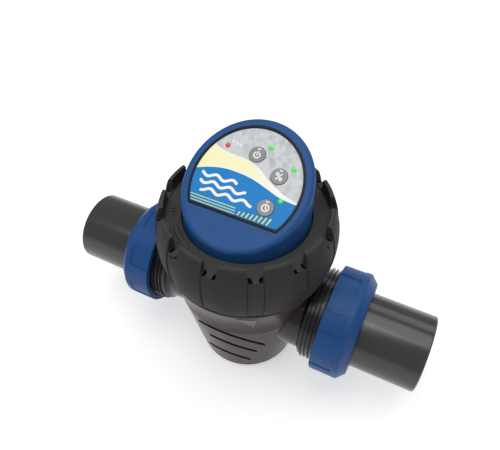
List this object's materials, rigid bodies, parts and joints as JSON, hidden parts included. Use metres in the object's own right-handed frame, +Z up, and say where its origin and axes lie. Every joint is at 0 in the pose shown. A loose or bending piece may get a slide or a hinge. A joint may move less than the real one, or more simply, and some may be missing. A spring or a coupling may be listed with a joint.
{
  "type": "salt chlorine generator",
  "caption": "Pool salt chlorinator: smoked flow-through cell with union couplings each side, screw-down lock ring and sloped control head.",
  "frame": {"origin": "centre of the cell foot, on the surface it stands on", "axes": "+Z up, +X along the pipe line, the control panel slopes down towards -Y"},
  "size_m": [0.29, 0.1304, 0.2017],
  "materials": {
    "cell_smoke": "smoked translucent, polished",
    "port_smoke": "dark smoked, glossy",
    "seal_rubber": "moulded EPDM",
    "tail_grey": "semi-gloss PVC",
    "union_blue": "moulded satin",
    "cap_blue": "moulded satin",
    "ring_black": "fine moulded texture",
    "carrier_grey": "moulded",
    "steel": "stainless",
    "bezel_black": "satin",
    "overlay_film": null,
    "lens_red": "clear tinted",
    "lens_green": "clear tinted",
    "key_grey": "satin",
    "board_green": "solder mask",
    "switch_black": "moulded",
    "nylon": "natural nylon",
    "gland_black": "moulded nylon",
    "copper": "enamelled copper winding",
    "capacitor_black": "shrink sleeve",
    "relay_plastic": "moulded",
    "aluminium": "extruded",
    "terminal_green": "moulded",
    "ribbon_grey": "PVC ribbon",
    "lead_red": "PVC insulation",
    "lead_black": "PVC insulation",
    "titanium": "bare titanium",
    "anode_coating": "dark mixed-oxide coating on titanium"
  },
  "bodies": {
    "cell": {"cell_housing": "cell_smoke", "cell_port_left": "port_smoke", "cell_port_right": "port_smoke", "port_seal_left": "seal_rubber", "port_seal_right": "seal_rubber"},
    "head": {"anode_lead": "lead_red", "anode_plate_1": "anode_coating", "anode_plate_2": "anode_coating", "anode_plate_3": "anode_coating", "anode_plate_4": "anode_coating", "anode_terminal": "titanium", "board_pillars": "nylon", "board_screws": "steel", "cable_gland": "gland_black", "cap_gasket": "seal_rubber", "cap_screws": "steel", "carrier_oring": "seal_rubber", "cathode_lead": "lead_black", "cathode_plate_1": "titanium", "cathode_plate_2": "titanium", "cathode_plate_3": "titanium", "cathode_terminal": "titanium", "display_board": "board_green", "display_pillars": "nylon", "electrode_carrier": "carrier_grey", "filter_capacitors": "capacitor_black", "flow_sensor": "gland_black", "gland_locknut": "gland_black", "gland_nut": "gland_black", "gland_seal": "seal_rubber", "head_cap": "cap_blue", "heat_sink": "aluminium", "output_lens": "lens_green", "panel_bezel": "bezel_black", "panel_overlay": "overlay_film", "plate_combs": "nylon", "polarity_relays": "relay_plastic", "power_board": "board_green", "power_inductor": "copper", "power_lens": "lens_green", "ribbon_cable": "ribbon_grey", "salt_lens": "lens_red", "tact_switches": "switch_black", "terminal_block": "terminal_green", "terminal_nuts": "steel", "terminal_seals": "seal_rubber", "timer_lens": "lens_green"},
    "lock_ring": {"lock_ring": "ring_black"},
    "tail_left": {"union_tail_left": "tail_grey"},
    "nut_left": {"union_nut_left": "union_blue"},
    "tail_right": {"union_tail_right": "tail_grey"},
    "nut_right": {"union_nut_right": "union_blue"},
    "power_key": {"power_key": "key_grey"},
    "output_key": {"output_key": "key_grey"},
    "timer_key": {"timer_key": "key_grey"}
  },
  "joints": [
    {"name": "head_lift", "type": "slide", "parent": "cell", "child": "head", "axis": [0, 0, 1], "range_m": [0, 0.0151]},
    {"name": "ring_turn", "type": "hinge", "parent": "head", "child": "lock_ring", "pos_m": [0, 0, 0.13], "axis": [0, 0, 1], "range_deg": [0, 900]},
    {"name": "tail_right_slide", "type": "slide", "parent": "cell", "child": "tail_right", "axis": [1, 0, 0], "range_m": [0, 0.0091]},
    {"name": "nut_right_turn", "type": "hinge", "parent": "tail_right", "child": "nut_right", "pos_m": [0.08, 0, 0.068], "axis": [1, 0, 0], "range_deg": [0, 1080]},
    {"name": "tail_left_slide", "type": "slide", "parent": "cell", "child": "tail_left", "axis": [-1, 0, 0], "range_m": [0, 0.0091]},
    {"name": "nut_left_turn", "type": "hinge", "parent": "tail_left", "child": "nut_left", "pos_m": [-0.08, 0, 0.068], "axis": [-1, 0, 0], "range_deg": [0, 1080]},
    {"name": "power_key_press", "type": "slide", "parent": "head", "child": "power_key", "axis": [0, 0.4352, -0.9003], "range_m": [0, 0.0005], "stiffness_N_per_m": 400, "springref_m": -0.0006},
    {"name": "output_key_press", "type": "slide", "parent": "head", "child": "output_key", "axis": [0, 0.4352, -0.9003], "range_m": [0, 0.0005], "stiffness_N_per_m": 400, "springref_m": -0.0006},
    {"name": "timer_key_press", "type": "slide", "parent": "head", "child": "timer_key", "axis": [0, 0.4352, -0.9003], "range_m": [0, 0.0005], "stiffness_N_per_m": 400, "springref_m": -0.0006}
  ],
  "couplings": [
    {"joint": "head_lift", "follows": "ring_turn", "m_per_rad": 0.00095493},
    {"joint": "tail_right_slide", "follows": "nut_right_turn", "m_per_rad": 0.00047746},
    {"joint": "tail_left_slide", "follows": "nut_left_turn", "m_per_rad": 0.00047746}
  ]
}
